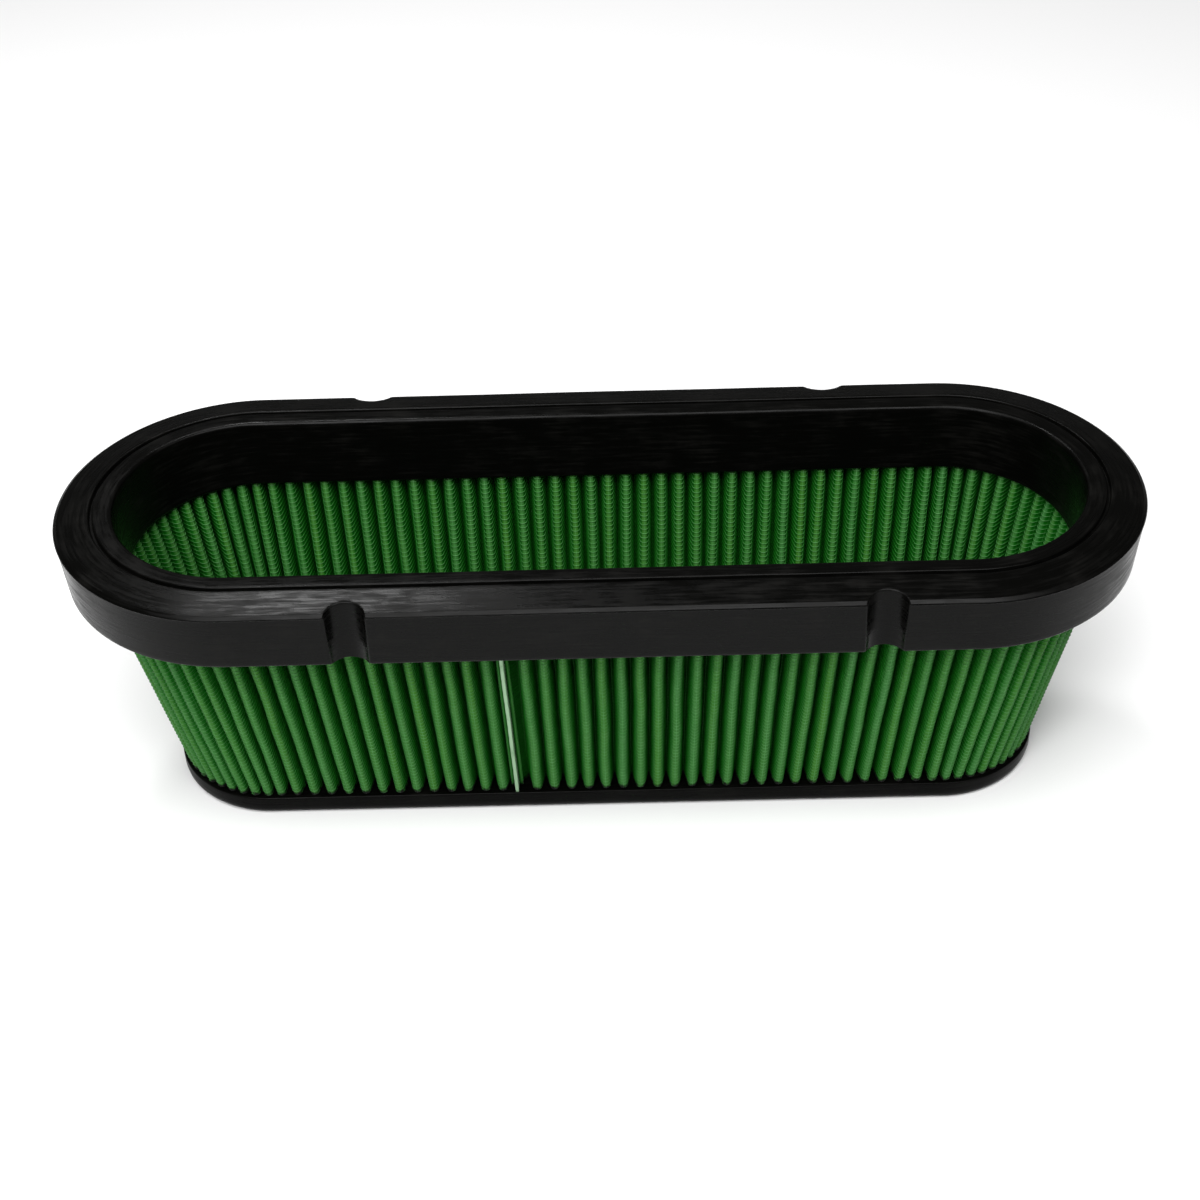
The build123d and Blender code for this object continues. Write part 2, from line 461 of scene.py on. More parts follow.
def store(made: bpy.types.Object, name: str, kind: str, values: np.ndarray) -> None:
    """Keep one value for each vertex on a mesh.

    Args:
        made: The object.
        name: The attribute's name.
        kind: FLOAT or FLOAT_VECTOR.
        values: The values, in vertex order.
    """
    attribute = made.data.attributes.new(name, kind, "POINT")
    key = "value" if kind == "FLOAT" else "vector"
    attribute.data.foreach_set(key, np.asarray(values, dtype=np.float32).ravel())


def grid_faces(rows: int, columns: int, close_rows: bool, close_columns: bool) -> np.ndarray:
    """Quads of a rows x columns grid of vertices, joined round where asked."""
    row = np.arange(rows if close_rows else rows - 1)
    column = np.arange(columns if close_columns else columns - 1)
    low, left = np.meshgrid(row, column, indexing="ij")
    high = (low + 1) % rows
    right = (left + 1) % columns
    corners = [low * columns + left, low * columns + right, high * columns + right, high * columns + left]
    return np.stack(corners, axis=-1).reshape(-1, 4)


def wave(x: float, y: float, z: float, size: float) -> float:
    """Smooth repeatable noise from about -1 to 1 with features of a given size."""
    return noise.noise(Vector((x / size, y / size, z / size)))


def face_outward(made: bpy.types.Object) -> None:
    """Turn a closed mesh's faces outward if its volume comes out negative."""
    mesh = made.data
    mesh.calc_loop_triangles()
    points = np.empty(len(mesh.vertices) * 3)
    mesh.vertices.foreach_get("co", points)
    corners = np.empty(len(mesh.loop_triangles) * 3, dtype=np.int64)
    mesh.loop_triangles.foreach_get("vertices", corners)
    a, b, c = np.moveaxis(points.reshape(-1, 3)[corners.reshape(-1, 3)], 1, 0)
    if np.einsum("ij,ij->i", a, np.cross(b, c)).sum() < 0:
        mesh.flip_normals()


def weld(made: bpy.types.Object, distance: float = 0.001 * MM) -> None:
    """Join the points of a mesh that lie on each other."""
    work = bmesh.new()
    work.from_mesh(made.data)
    bmesh.ops.remove_doubles(work, verts=work.verts, dist=distance)
    work.to_mesh(made.data)
    work.free()


def tubes(centres: np.ndarray, across: np.ndarray, up: np.ndarray, radius: float) -> tuple[np.ndarray, np.ndarray]:
    """Square-section wires along many paths at once.

    Args:
        centres: Paths x points x 3.
        across: One section axis at each point, as centres.
        up: The other section axis, as centres.
        radius: The wire's radius.

    Returns:
        Vertices, and the quads that join them.
    """
    offsets = [across * radius, up * radius, across * -radius, up * -radius]
    points = np.stack([centres + offset for offset in offsets], axis=2)
    paths, steps, sides = points.shape[:3]
    one = grid_faces(steps, sides, False, True)
    starts = np.arange(paths) * steps * sides
    faces = (one[None, :, :] + starts[:, None, None]).reshape(-1, 4)
    ends = np.stack([starts[:, None] + side for side in (3, 2, 1, 0)], axis=-1).reshape(-1, 4)
    last = np.stack([starts[:, None] + (steps - 1) * sides + side for side in range(4)], axis=-1)
    return points.reshape(-1, 3), np.concatenate([faces, ends, last.reshape(-1, 4)])


# --- the pleated basket's form -------------------------------------------------------


@dataclass(frozen=True)
class Spot:
    """A point on an oval with its running and outward directions."""

    point: np.ndarray
    along: np.ndarray
    out: np.ndarray


@dataclass
class PleatForm:
    """The path of the pleated stack at any height, as the CAD model lays it out."""

    pleats: int = 126
    depth_top: float = 10.0 * MM
    depth_bottom: float = 9.0 * MM
    stack: float = 1.56 * MM
    fold: float = 0.14 * MM
    spread: float = 0.35
    cap_overlap: float = 1.0 * MM
    seam_pleat: int = -5
    seam_shift: float = -1.1 * MM
    strip_thickness: float = 1.3 * MM
    strip_depth: float = 6.0 * MM
    end_inset: float = 3.2 * MM
    sway: float = 0.42 * MM
    stray: float = 0.22 * MM
    turn_share: float = 0.22
    crown_points: int = 7
    valley_points: int = 7
    cap_top: float = field(init=False)
    ledge: float = field(init=False)
    foot: float = field(init=False)
    head: float = field(init=False)

    def __post_init__(self) -> None:
        """Take the heights and ovals from the CAD nodes' boxes."""
        pack_low, pack_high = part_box("outer_wire_screen")
        cap_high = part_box("bottom_cap")[1]
        self.foot, self.head = pack_low[2], pack_high[2]
        self.cap_top = cap_high[2]
        self.ledge = LEDGE_Z
        self.straight = 2 * (cap_high[0] - cap_high[1])
        self.cap_radius = cap_high[1] - self.cap_overlap
        slope = (pack_high[1] - self.cap_radius) / (self.head - self.cap_top)
        self.ledge_radius = self.cap_radius + slope * (self.ledge - self.cap_top)

    def share(self, z: float) -> float:
        """0 at the cap's top, 1 at the ledge."""
        return (z - self.cap_top) / (self.ledge - self.cap_top)

    def radius(self, z: float) -> float:
        """Radius of the outer folds' oval."""
        return self.cap_radius + (self.ledge_radius - self.cap_radius) * self.share(z)

    def depth(self, z: float) -> float:
        """Depth of the pleats, fold to fold."""
        return self.depth_bottom + (self.depth_top - self.depth_bottom) * self.share(z)

    def run(self, station: float, z: float) -> float:
        """Distance round the oval, from the front middle, of a pleat station."""
        half = self.straight / 2
        top_bend = math.pi * self.ledge_radius
        bend = math.pi * self.radius(z)
        turn = station / self.pleats
        turn -= round(turn)
        top = abs(turn) * 2 * (self.straight + top_bend)
        if top < half:
            matched = top
        elif top < half + top_bend:
            matched = half + (top - half) * bend / top_bend
        else:
            matched = top - top_bend + bend
        even = abs(turn) * 2 * (self.straight + bend)
        return math.copysign(matched + (even - matched) * self.spread, turn)

    def spot(self, station: float, z: float, inset: float, shift: float = 0.0) -> Spot:
        """A point of the pack.

        Args:
            station: Pleats past the front middle; a half is an inner fold.
            z: Height.
            inset: How far inside the outer folds.
            shift: How far along from the station.

        Returns:
            The point and its directions.
        """
        run = self.run(station, z)
        side = math.copysign(1.0, run)
        distance = abs(run)
        half = self.straight / 2
        radius = self.radius(z)
        bend = math.pi * radius
        if distance < half:
            spine, heading = distance, 0.0
        elif distance < half + bend:
            spine, heading = half, (distance - half) / radius
        else:
            spine, heading = 2 * half + bend - distance, math.pi
        heading *= side
        along = np.array([math.cos(heading), math.sin(heading)])
        out = np.array([math.sin(heading), -math.cos(heading)])
        point = np.array([side * spine, 0.0]) + out * (radius - inset) + along * shift
        return Spot(point, along, out)

    def free(self, z: float) -> float:
        """How free a pleat is to stray: none where it is potted, most at mid height."""
        share = min(max(self.share(z), 0.0), 1.0)
        return math.sin(math.pi * share) ** 0.6

    def strayed(self, station: float, z: float, inset: float) -> Spot:
        """A fold's centre, a little off its even place between the potted ends."""
        free = self.free(z)
        key = (station % self.pleats) * 7.31
        sideways = self.sway * free * (wave(key, z, 1.7, 0.045) + 0.6 * wave(key, z, 5.1, 0.016))
        inward = self.stray * free * wave(key, z, 9.3, 0.03)
        return self.spot(station, z, inset + inward, sideways)

    def leg(self, crown: np.ndarray, valley: np.ndarray, side: int) -> np.ndarray:
        """Outward-side normal of the leg between two fold centres; side +1 runs on."""
        span = valley - crown
        length = float(np.hypot(*span))
        unit = span / length
        lean = (self.stack + 2 * self.fold) / length
        across = np.array([unit[1], -unit[0]]) * side
        return unit * lean + across * math.sqrt(1.0 - lean * lean)

    def arc(self, spot: Spot, start: np.ndarray, end: np.ndarray, count: int) -> np.ndarray:
        """Unit normals that turn from start to end through the outward direction."""
        first = math.atan2(float(start @ spot.out), float(start @ spot.along))
        last = math.atan2(float(end @ spot.out), float(end @ spot.along))
        if first < -math.pi / 2:
            first += 2 * math.pi
        if last < -math.pi / 2:
            last += 2 * math.pi
        angles = np.linspace(first, last, count)
        return np.cos(angles)[:, None] * spot.along + np.sin(angles)[:, None] * spot.out

    def row(self, z: float) -> tuple[np.ndarray, np.ndarray, np.ndarray]:
        """The stack's outermost line at one height.

        Args:
            z: Height.

        Returns:
            Points, normals to step into the stack against, and how far out each lies.
        """
        reach = self.stack + self.fold
        depth = self.depth(z)
        stations = [self.seam_pleat + step for step in range(self.pleats)]
        valleys = [self.strayed(station + 0.5, z, depth - reach) for station in stations]
        crowns = [self.strayed(station, z, reach) for station in stations[1:]]
        points, normals, outs = [], [], []

        def add(point: np.ndarray, normal: np.ndarray, out: float) -> None:
            """Keep one point of the line."""
            points.append(point)
            normals.append(normal)
            outs.append(out)

        half = self.strip_thickness / 2
        ends = []
        for side, valley in ((1, valleys[0]), (-1, valleys[-1])):
            shift = self.seam_shift + side * (half - self.fold)
            pivot = self.spot(self.seam_pleat, z, self.strip_depth, shift)
            tip = self.spot(self.seam_pleat, z, self.end_inset, shift)
            flank = pivot.along * side
            leg = self.leg(pivot.point, valley.point, side)
            mitre = (flank + leg) / (1.0 + float(flank @ leg))
            ends.append((tip.point + flank * reach, flank, pivot.point + mitre * reach, mitre, leg))
        add(ends[0][0], ends[0][1], 0.9)
        add(ends[0][2], ends[0][3], 0.35)
        start = ends[0][4]
        for step, valley in enumerate(valleys):
            crown = crowns[step] if step < len(crowns) else None
            end = self.leg(crown.point, valley.point, -1) if crown else ends[1][4]
            for normal in self.arc(valley, start, end, self.valley_points):
                lift = max(float(normal @ valley.out), 0.0)
                add(valley.point - normal * self.fold, normal, self.turn_share * (1.0 - lift))
            if crown is None:
                continue
            start = self.leg(crown.point, valleys[step + 1].point, 1)
            for normal in self.arc(crown, end, start, self.crown_points):
                lift = max(float(normal @ crown.out), 0.0)
                add(crown.point + normal * reach, normal, 1.0 - self.turn_share * (1.0 - lift))
        add(ends[1][2], ends[1][3], 0.35)
        add(ends[1][0], ends[1][1], 0.9)
        return np.array(points), np.array(normals), np.array(outs)

    def rows(self, heights: Iterable[float]) -> tuple[np.ndarray, np.ndarray, np.ndarray]:
        """row() at several heights, with points and normals in three dimensions."""
        points, normals, outs = [], [], None
        for z in heights:
            flat, normal, outs = self.row(z)
            points.append(np.column_stack([flat, np.full(len(flat), z)]))
            normals.append(np.column_stack([normal, np.zeros(len(normal))]))
        return np.array(points), np.array(normals), outs


# --- sub-assemblies ------------------------------------------------------------------


class Side(Enum):
    """Which way a layer of the pleats faces."""

    DIRTY = "outer"
    CLEAN = "inner"


@dataclass
class GauzePly:
    """One ply of gauze: a thin closed sheet folded with the rest of the stack."""

    form: PleatForm
    number: int
    screen: float = 0.30 * MM
    thickness: float = 0.24 * MM
    rows: int = 13

    @property
    def side(self) -> Side:
        """The two outer plies face the dirty air, the two inner ones the engine."""
        return Side.DIRTY if self.number <= 2 else Side.CLEAN

    def finish(self) -> OiledGauze:
        """The clean side's pleats get darker painted shade on their flanks and the painted highlight only along
        their very crests.
        """
        name = f"oiled_gauze_{self.number}"
        if self.side is Side.DIRTY:
            return OiledGauze(name)
        # the inner plies are a shaded copy of the same gauze: the darker leg colour is painted shade, the narrower
        # pale crest a painted highlight
        return OiledGauze(name, leg=(0.001, 0.105, 0.001), crest_highlight_from=0.88)

    def build(self) -> bpy.types.Object:
        node = f"gauze_ply_{self.number}"
        material = self.finish().material()
        heights = np.linspace(self.form.foot, self.form.head, self.rows)
        line, normals, outs = self.form.rows(heights)
        start = self.screen + (self.number - 1) * self.thickness
        near = line - normals * start
        far = line - normals * (start + self.thickness)
        loop = np.concatenate([near, far[:, ::-1]], axis=1)
        count = line.shape[1]
        faces = grid_faces(self.rows, 2 * count, False, True)
        j = np.arange(count - 1)
        lid = np.stack([j, j + 1, 2 * count - 2 - j, 2 * count - 1 - j], axis=-1)
        faces = np.concatenate([faces, lid[:, ::-1], lid + (self.rows - 1) * 2 * count])
        made = mesh_object(f"{node}_cloth", loop, faces, material)
        face_outward(made)
        middle = (near[self.rows // 2] + far[self.rows // 2]) / 2
        steps = np.linalg.norm(np.diff(middle, axis=0), axis=1)
        unfolded = np.concatenate([[0.0], np.cumsum(steps)])
        across = np.concatenate([unfolded, unfolded[::-1]])
        cloth = np.zeros(loop.shape)
        cloth[..., 0] = across[None, :]
        cloth[..., 1] = loop[..., 2]
        store(made, "cloth", "FLOAT_VECTOR", cloth)
        tip = np.concatenate([outs, outs[::-1]])
        if self.side is Side.CLEAN:
            tip = 1.0 - tip
        store(made, "tip", "FLOAT", np.tile(tip, (self.rows, 1)))
        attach(made, BODY)
        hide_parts(node)
        return made


@dataclass
class WireScreen:
    """Woven wire screen that backs one face of the pleats, wire by wire."""

    form: PleatForm
    side: Side
    finish: CoatedWire
    wire: float = 0.125 * MM
    mesh_pitch: float = 1.8 * MM
    leg_wires: int = 4
    bands: int = 4
    warp_rows: int = 9

    def layer(self, depth: float) -> float:
        """Depth in the stack of a wire that lies so far under this face."""
        return depth if self.side is Side.DIRTY else self.form.stack - depth

    def finish_piece(self, made: bpy.types.Object, tips: np.ndarray) -> None:
        """Declare one piece of the screen and store its fold height, which places the painted highlight and shade.
        """
        tip = tips if self.side is Side.DIRTY else 1.0 - tips
        store(made, "tip", "FLOAT", tip)
        face_outward(made)
        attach(made, BODY)
        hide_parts(f"{self.side.value}_wire_screen")
        LOG.info("%s: %d faces", made.name, len(made.data.polygons))

    def weft(self, material: bpy.types.Material) -> None:
        """Wires that run round the basket and follow every fold."""
        gap = self.mesh_pitch
        heights = np.arange(self.form.cap_top + gap / 2, self.form.ledge, gap)
        for number, band in enumerate(np.array_split(heights, self.bands), start=1):
            line, normals, outs = self.form.rows(band)
            centres = line - normals * self.layer(self.wire)
            up = np.zeros_like(normals)
            up[..., 2] = 1.0
            points, faces = tubes(centres, normals, up, self.wire)
            name = f"{self.side.value}_screen_weft_{number}"
            made = mesh_object(name, points, faces, material)
            self.finish_piece(made, np.tile(np.repeat(outs, 4), (len(band), 1)))

    def warp(self, material: bpy.types.Material) -> None:
        """Wires that run from the cap up to the frame."""
        heights = np.linspace(self.form.cap_top - 2 * MM, self.form.ledge + 2 * MM, self.warp_rows)
        line, normals, outs = self.form.rows(heights)
        near, far = np.arange(line.shape[1] - 1), np.arange(1, line.shape[1])
        length = np.linalg.norm(line[0, far] - line[0, near], axis=1)
        legs = near[length > 2 * self.mesh_pitch]
        at = [(leg, (n + 0.5) / self.leg_wires) for leg in legs for n in range(self.leg_wires)]
        cycle = self.form.crown_points + self.form.valley_points
        first = 2 + self.form.valley_points // 2
        at += [(j, 0.0) for j in range(first, line.shape[1] - 2, cycle)]
        first = 2 + self.form.valley_points + self.form.crown_points // 2
        at += [(j, 0.0) for j in range(first, line.shape[1] - 2, cycle)]
        start = np.array([j for j, _ in at])
        share = np.array([part for _, part in at])[None, :, None]
        centre = line[:, start] * (1 - share) + line[:, start + 1] * share
        normal = normals[:, start] * (1 - share) + normals[:, start + 1] * share
        normal /= np.linalg.norm(normal, axis=2, keepdims=True)
        centre = np.swapaxes(centre - normal * self.layer(3 * self.wire), 0, 1)
        normal = np.swapaxes(normal, 0, 1)
        sideways = np.stack([-normal[..., 1], normal[..., 0], normal[..., 2]], axis=-1)
        points, faces = tubes(centre, normal, sideways, self.wire)
        made = mesh_object(f"{self.side.value}_screen_warp", points, faces, material)
        part = share[0, :, 0]
        tips = outs[start] * (1 - part) + outs[start + 1] * part
        self.finish_piece(made, np.repeat(tips, 4 * self.warp_rows))

    def build(self) -> None:
        """Weave the screen."""
        material = self.finish.material()
        material.name = f"{material.name}_{self.side.value}"
        self.weft(material)
        self.warp(material)


@dataclass(frozen=True)
class Corner:
    """A corner of a moulding's section: reach from the spine, height and fillet."""

    reach: float
    z: float
    radius: float


def rounded(corners: Sequence[Corner], arc_points: int = 5, step: float = 1.2 * MM) -> np.ndarray:
    """Closed section through filleted corners, with its long edges divided.

    Args:
        corners: The corners, in order.
        arc_points: Points on each fillet.
        step: Longest edge that is left whole.

    Returns:
        One row of reach and height for each point.
    """
    outline = []
    places = [np.array([corner.reach, corner.z]) for corner in corners]
    for index, corner in enumerate(corners):
        here = places[index]
        back = places[index - 1] - here
        on = places[(index + 1) % len(places)] - here
        back, on = back / np.hypot(*back), on / np.hypot(*on)
        half = math.acos(float(np.clip(back @ on, -1, 1))) / 2
        run = corner.radius / math.tan(half)
        centre = here + (back + on) / np.hypot(*(back + on)) * corner.radius / math.sin(half)
        first, last = here + back * run - centre, here + on * run - centre
        sweep = math.pi - 2 * half
        turn = math.copysign(1.0, float(first[0] * last[1] - first[1] * last[0]))
        for share in np.linspace(0, 1, arc_points):
            angle = turn * sweep * share
            spin = np.array([[math.cos(angle), -math.sin(angle)], [math.sin(angle), math.cos(angle)]])
            outline.append(centre + spin @ first)
    divided = []
    for here, after in zip(outline, outline[1:] + outline[:1]):
        pieces = max(1, math.ceil(float(np.hypot(*(after - here))) / step))
        divided += [here + (after - here) * n / pieces for n in range(pieces)]
    return np.array(divided)


@dataclass(frozen=True)
class Scallop:
    """A round clearance cut in the frame's side: place, side, radius and depth."""

    x: float
    side: int
    radius: float
    depth: float


@dataclass
class OvalSweep:
    """Carries a section round an oval with closer stations where detail needs them."""

    straight: float
    scallops: tuple[Scallop, ...] = ()
    coarse: float = 2.5 * MM
    fine: float = 0.4 * MM
    bend_steps: int = 110

    def line(self, side: int) -> np.ndarray:
        """Places along one straight run, close together round its scallops."""
        half = self.straight / 2
        places = [-half]
        while places[-1] < half - self.fine / 2:
            near = any(
                s.side == side and abs(places[-1] - s.x) < s.radius * 1.25 for s in self.scallops
            )
            places.append(min(places[-1] + (self.fine if near else self.coarse), half))
        return np.array(places)

    def stations(self) -> tuple[np.ndarray, np.ndarray]:
        """Spine place and outward heading of every station, front run first."""
        front, back = self.line(-1), self.line(1)[::-1]
        turn = np.linspace(0, math.pi, self.bend_steps + 1)[1:-1]
        half = self.straight / 2
        spine = [front, np.full(len(turn), half), back, np.full(len(turn), -half)]
        heading = [np.zeros(len(front)), turn, np.full(len(back), math.pi), turn + math.pi]
        return np.concatenate(spine), np.concatenate(heading)

    def limit(self, spine: np.ndarray, heading: np.ndarray, edge: float) -> np.ndarray:
        """How far out the moulding may reach at each station beside its scallops."""
        reach = np.full(len(spine), edge * 2)
        for cut in self.scallops:
            centre = edge + cut.radius - cut.depth
            beside = np.abs(spine - cut.x)
            on_side = np.cos(heading) * -cut.side > 0.999
            inside = on_side & (beside < cut.radius)
            hollow = centre - np.sqrt(np.maximum(cut.radius**2 - beside**2, 0.0))
            reach = np.where(inside, hollow, reach)
            past = on_side & ~inside & (beside < cut.radius * 1.6)
            reach = np.where(past, centre + (beside - cut.radius) * 3, reach)
        return reach

    def points(self, section: np.ndarray, edge: float, soft: float = 0.5 * MM) -> np.ndarray:
        """Grid of points: stations x section points x 3."""
        spine, heading = self.stations()
        limit = self.limit(spine, heading, edge)[:, None]
        reach = np.broadcast_to(section[:, 0], (len(spine), len(section)))
        excess = np.maximum(reach - limit, 0.0)
        eased = (reach + limit - np.sqrt((reach - limit) ** 2 + soft**2)) / 2
        reach = np.where(limit < edge * 1.9, eased + excess * 0.02, reach)
        x = spine[:, None] + np.sin(heading)[:, None] * reach
        y = -np.cos(heading)[:, None] * reach
        z = np.broadcast_to(section[:, 1], reach.shape)
        return np.stack([x, y, z], axis=-1)


def flow(grid: np.ndarray, stretch: float = 14.0) -> np.ndarray:
    """Coordinates that follow a moulding round its oval, closely spaced across it.

    Args:
        grid: Stations x section points x 3.
        stretch: How much finer the flow lines are across than along.

    Returns:
        Coordinates of the grid's shape, which join up round the oval.
    """
    middle = grid.mean(axis=1)
    steps = np.linalg.norm(np.roll(middle, -1, axis=0) - middle, axis=1)
    run = np.concatenate([[0.0], np.cumsum(steps)[:-1]]) / steps.sum() * 2 * math.pi
    radius = steps.sum() / (2 * math.pi)
    across = np.linalg.norm(np.diff(grid[0], axis=0), axis=1)
    across = np.concatenate([[0.0], np.cumsum(across)]) * stretch
    made = np.empty(grid.shape)
    made[..., 0] = (radius * np.cos(run))[:, None]
    made[..., 1] = (radius * np.sin(run))[:, None]
    made[..., 2] = across[None, :]
    return made


def uneven(points: np.ndarray, amount: float, size: float) -> np.ndarray:
    """Shift points by smooth noise, as a casting comes out of a soft mould."""
    flat = points.reshape(-1, 3)
    shifted = [
        (x + amount * wave(x, y, z, size), y + amount * wave(y + 1, z, x, size),
         z + amount * 0.5 * wave(z + 2, x, y, size))
        for x, y, z in flat.tolist()
    ]
    return np.array(shifted).reshape(points.shape)


@dataclass
class TopFrame:
    """Moulded sealing frame: wall, shoulder, groove, rim, scallops and potting bead."""

    finish: MouldedPolyurethane
    wall_draft: float = 1.5 * MM
    shoulder_width: float = 12.4 * MM
    shoulder_drop: float = 2.2 * MM
    groove_width: float = 1.5 * MM
    groove_depth: float = 1.8 * MM
    rim_width: float = 6.4 * MM
    inner_draft: float = 2.9 * MM
    flash: float = 0.18 * MM
    ledge_width: float = 10.4 * MM
    bead_width: float = 1.6 * MM
    scallops: tuple[Scallop, ...] = (
        Scallop(-83.0 * MM, -1, 6.8 * MM, 6.0 * MM),
        Scallop(94.0 * MM, -1, 6.8 * MM, 6.0 * MM),
        Scallop(-84.0 * MM, 1, 8.5 * MM, 4.6 * MM),
        Scallop(84.0 * MM, 1, 8.5 * MM, 4.6 * MM),
    )

    def section(self, edge: float, foot: float, top: float) -> np.ndarray:
        """The moulding's outline, down to the potting bead under its ledge."""
        bead = edge - self.wall_draft - self.ledge_width + self.bead_width
        low = foot - BEAD_DROP
        shoulder = top - self.shoulder_drop
        out = edge - self.shoulder_width
        inside = out - self.groove_width
        lip = inside - self.rim_width
        bottom = top - self.groove_depth
        corners = [
            Corner(edge - self.wall_draft, foot, 1.0 * MM),
            Corner(edge - 0.08 * MM, shoulder - 1.3 * MM, 0.3 * MM),
            Corner(edge + self.flash, shoulder - 1.0 * MM, 0.1 * MM),
            Corner(edge - 0.10 * MM, shoulder - 0.6 * MM, 0.3 * MM),
            Corner(edge - 1.3 * MM, shoulder + 0.2 * MM, 0.6 * MM),
            Corner(out, top, 0.5 * MM),
            Corner(out - 0.15 * MM, bottom, 0.4 * MM),
            Corner(inside + 0.15 * MM, bottom, 0.4 * MM),
            Corner(inside, top, 0.5 * MM),
            Corner(lip, top, 1.4 * MM),
            Corner(lip - self.inner_draft, low, 1.0 * MM),
            Corner(bead, low, 0.4 * MM),
            Corner(bead, foot, 0.4 * MM),
        ]
        return rounded(corners)

    def build(self) -> bpy.types.Object:
        """Cast the frame round its CAD node's box."""
        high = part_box("top_frame")[1]
        edge = float(high[1])
        sweep = OvalSweep(2 * float(high[0] - high[1]), self.scallops)
        section = self.section(edge, LEDGE_Z, float(high[2]))
        points = uneven(sweep.points(section, edge), 0.12 * MM, 26 * MM)
        faces = grid_faces(*points.shape[:2], True, True)
        made = mesh_object("top_frame_casting", points, faces, self.finish.material())
        store(made, "flow", "FLOAT_VECTOR", flow(points))
        face_outward(made)
        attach(made, BODY)
        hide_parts("top_frame")
        LOG.info("%s: %d faces", made.name, len(made.data.polygons))
        return made


@dataclass
class BottomCap:
    """Moulded cap that closes the basket and stands it up."""

    finish: MouldedPolyurethane
    edge_radius: float = 3.2 * MM
    top_radius: float = 0.6 * MM
    ridge_width: float = 12.0 * MM
    floor: float = 5.0 * MM
    foot_width: float = 9.0 * MM
    foot_depth: float = 1.2 * MM

    def section(self, edge: float, top: float) -> np.ndarray:
        """Half of the cap's section, open at the middle, where the halves are welded."""
        ridge = edge - self.ridge_width
        land = edge - self.edge_radius - self.foot_width
        corners = [
            Corner(0.0, self.floor, 0.0),
            Corner(ridge - 0.6 * MM, self.floor, 1.0 * MM),
            Corner(ridge, top, 0.8 * MM),
            Corner(edge, top, self.top_radius),
            Corner(edge, 0.0, self.edge_radius),
            Corner(land, 0.0, 0.4 * MM),
            Corner(land - 0.5 * MM, self.foot_depth, 0.4 * MM),
            Corner(0.0, self.foot_depth, 0.0),
        ]
        outline = rounded(corners, step=1.5 * MM)
        buried = np.abs(outline[:, 1] * 2 - self.floor - self.foot_depth) < self.floor - self.foot_depth - 0.01 * MM
        return outline[~(buried & (outline[:, 0] < 0.001 * MM))]

    def build(self) -> bpy.types.Object:
        """Cast the cap round its CAD node's box."""
        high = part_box("bottom_cap")[1]
        edge = float(high[1])
        sweep = OvalSweep(2 * float(high[0] - high[1]))
        points = sweep.points(self.section(edge, float(high[2])), edge)
        faces = grid_faces(*points.shape[:2], True, False)
        made = mesh_object("bottom_cap_casting", points, faces, self.finish.material())
        store(made, "flow", "FLOAT_VECTOR", flow(points))
        weld(made)
        face_outward(made)
        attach(made, BODY)
        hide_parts("bottom_cap")
        LOG.info("%s: %d faces", made.name, len(made.data.polygons))
        return made


@dataclass
class SeamStrip:
    """Aluminium strip between the two ends of the pleated sheet."""

    form: PleatForm
    finish: BareAluminium
    proud: float = 0.3 * MM
    corner: float = 0.25 * MM
    crimp_pitch: float = 6.5 * MM
    crimp_depth: float = 0.14 * MM
    rows: int = 160

    def build(self) -> bpy.types.Object:
        """Draw the strip from the cap up into the frame."""
        half = self.form.strip_thickness / 2
        near, far = -self.proud, self.form.strip_depth
        outline = [
            Corner(-half, near, self.corner),
            Corner(half, near, self.corner),
            Corner(half, far, self.corner),
            Corner(-half, far, self.corner),
        ]
        section = rounded(outline, 4, 2 * MM)
        points = []
        for z in np.linspace(self.form.foot, self.form.head, self.rows):
            pinch = self.crimp_depth * max(0.0, math.sin(2 * math.pi * z / self.crimp_pitch)) ** 4
            bow = 0.12 * MM * wave(z, 3.3, 0.0, 0.02)
            for shift, inset in section:
                squeezed = shift * (1 - pinch / half * 0.6) + bow
                spot = self.form.spot(self.form.seam_pleat, z, inset, self.form.seam_shift + squeezed)
                points.append((*spot.point, z))
        grid = np.array(points).reshape(self.rows, len(section), 3)
        faces = grid_faces(self.rows, len(section), False, True)
        made = mesh_object("seam_strip_metal", grid, faces, self.finish.material())
        close_ends(made)
        face_outward(made)
        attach(made, BODY)
        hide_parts("seam_strip")
        LOG.info("%s: %d faces", made.name, len(made.data.polygons))
        return made


def close_ends(made: bpy.types.Object) -> None:
    """Fill the open ends of a drawn mesh."""
    work = bmesh.new()
    work.from_mesh(made.data)
    rims = [edge for edge in work.edges if edge.is_boundary]
    bmesh.ops.holes_fill(work, edges=rims, sides=0)
    work.to_mesh(made.data)
    work.free()


# --- studio --------------------------------------------------------------------------


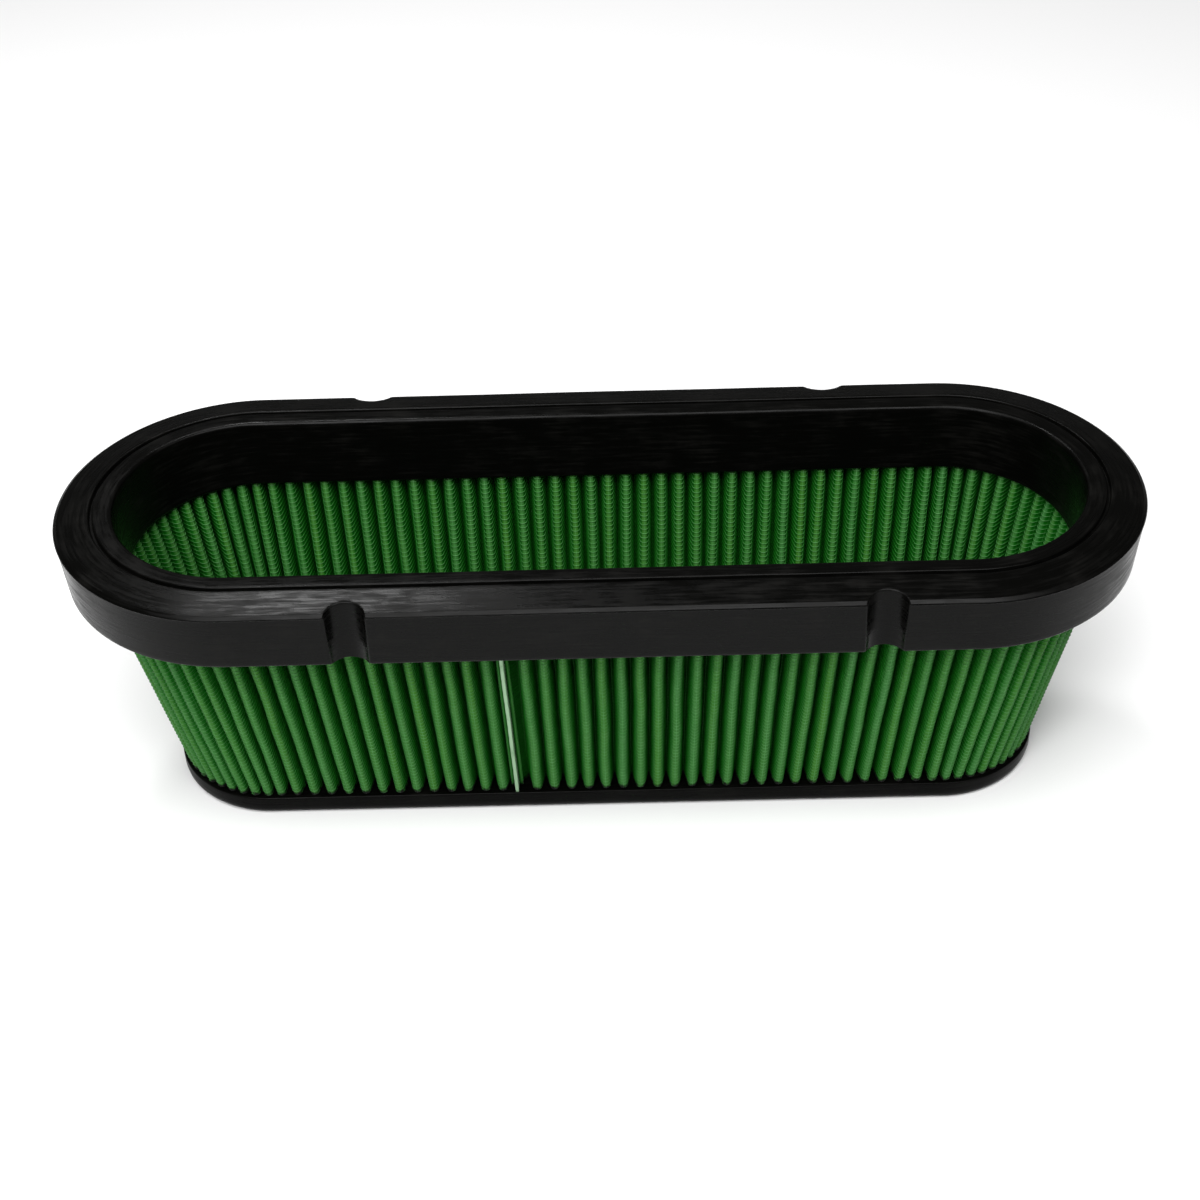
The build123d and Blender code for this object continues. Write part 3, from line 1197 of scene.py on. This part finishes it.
@dataclass
class Studio:
    """Plain paper floor, soft lamps and the camera."""

    paper: StudioPaper
    elevation: float = math.radians(38.9)
    yaw: float = math.radians(0.88)
    roll: float = math.radians(1.92)
    distance: float = 0.7485
    lens: float = 2043.5 / 1200.0
    sensor: float = 36.0
    target_height: float = 60.0 * MM
    centre: tuple[float, float] = (602.17 / 1200.0, 617.09 / 1200.0)

    def floor(self) -> None:
        """Lay the paper."""
        half = 3.0
        points = np.array([[-half, -half, 0], [half, -half, 0], [half, half, 0], [-half, half, 0]])
        made = mesh_object("floor", points, np.array([[0, 1, 2, 3]]), self.paper.material())

    def lamp(self, name: str, place: Sequence[float], size: Sequence[float], watts: float) -> None:
        """Hang one soft lamp that faces the element."""
        data = bpy.data.lights.new(name, "AREA")
        data.shape = "RECTANGLE"
        data.size, data.size_y = size
        data.energy = watts
        made = bpy.data.objects.new(name, data)
        made.location = place
        aim = Vector((0, 0, self.target_height)) - Vector(place)
        made.rotation_euler = aim.to_track_quat("-Z", "Y").to_euler()
        bpy.context.scene.collection.objects.link(made)

    def lights(self) -> None:
        """Light the room and the element."""
        world = bpy.data.worlds.new("studio")
        world.use_nodes = True
        background = world.node_tree.nodes["Background"]
        background.inputs["Color"].default_value = (1.0, 1.0, 1.0, 1.0)
        background.inputs["Strength"].default_value = 0.10
        bpy.context.scene.world = world
        bpy.context.scene.view_settings.view_transform = "Standard"
        self.lamp("ceiling", (0.0, -0.85, 2.1), (2.0, 1.4), 62.0)
        self.lamp("key", (-0.45, -1.15, 1.15), (0.6, 0.5), 11.0)
        self.lamp("shoulder_sheen", (-0.255, 0.457, 0.958), (0.19, 0.16), 3.4)

    def camera(self) -> None:
        """Set the camera at the viewing angle."""
        back = Vector((
            math.sin(self.yaw) * math.cos(self.elevation),
            -math.cos(self.yaw) * math.cos(self.elevation),
            math.sin(self.elevation),
        ))
        right = Vector((math.cos(self.yaw), math.sin(self.yaw), 0.0))
        up = back.cross(right)
        level = Matrix((right, up, back)).transposed()
        tilt = Matrix.Rotation(-self.roll, 3, "Z")
        data = bpy.data.cameras.new("camera")
        data.sensor_width = self.sensor
        data.lens = self.lens * self.sensor
        data.shift_x = 0.5 - self.centre[0]
        data.shift_y = self.centre[1] - 0.5
        made = bpy.data.objects.new("camera", data)
        place = Vector((0, 0, self.target_height)) + back * self.distance
        made.matrix_world = Matrix.Translation(place) @ (level @ tilt).to_4x4()
        bpy.context.scene.collection.objects.link(made)
        bpy.context.scene.camera = made


def main() -> None:
    """Build every sub-assembly in order and report it."""
    logging.basicConfig(level=logging.INFO, format="%(name)s: %(message)s")
    studio = Studio(StudioPaper())
    studio.camera()
    studio.lights()
    studio.floor()
    form = PleatForm()
    for number in range(1, 5):
        GauzePly(form, number).build()
    wire = CoatedWire()
    WireScreen(form, Side.DIRTY, wire).build()
    WireScreen(form, Side.CLEAN, wire).build()
    SeamStrip(form, BareAluminium()).build()
    TopFrame(MouldedPolyurethane()).build()
    BottomCap(MouldedPolyurethane("moulded_cap", specular=0.05)).build()


if __name__ == "__main__":
    main()
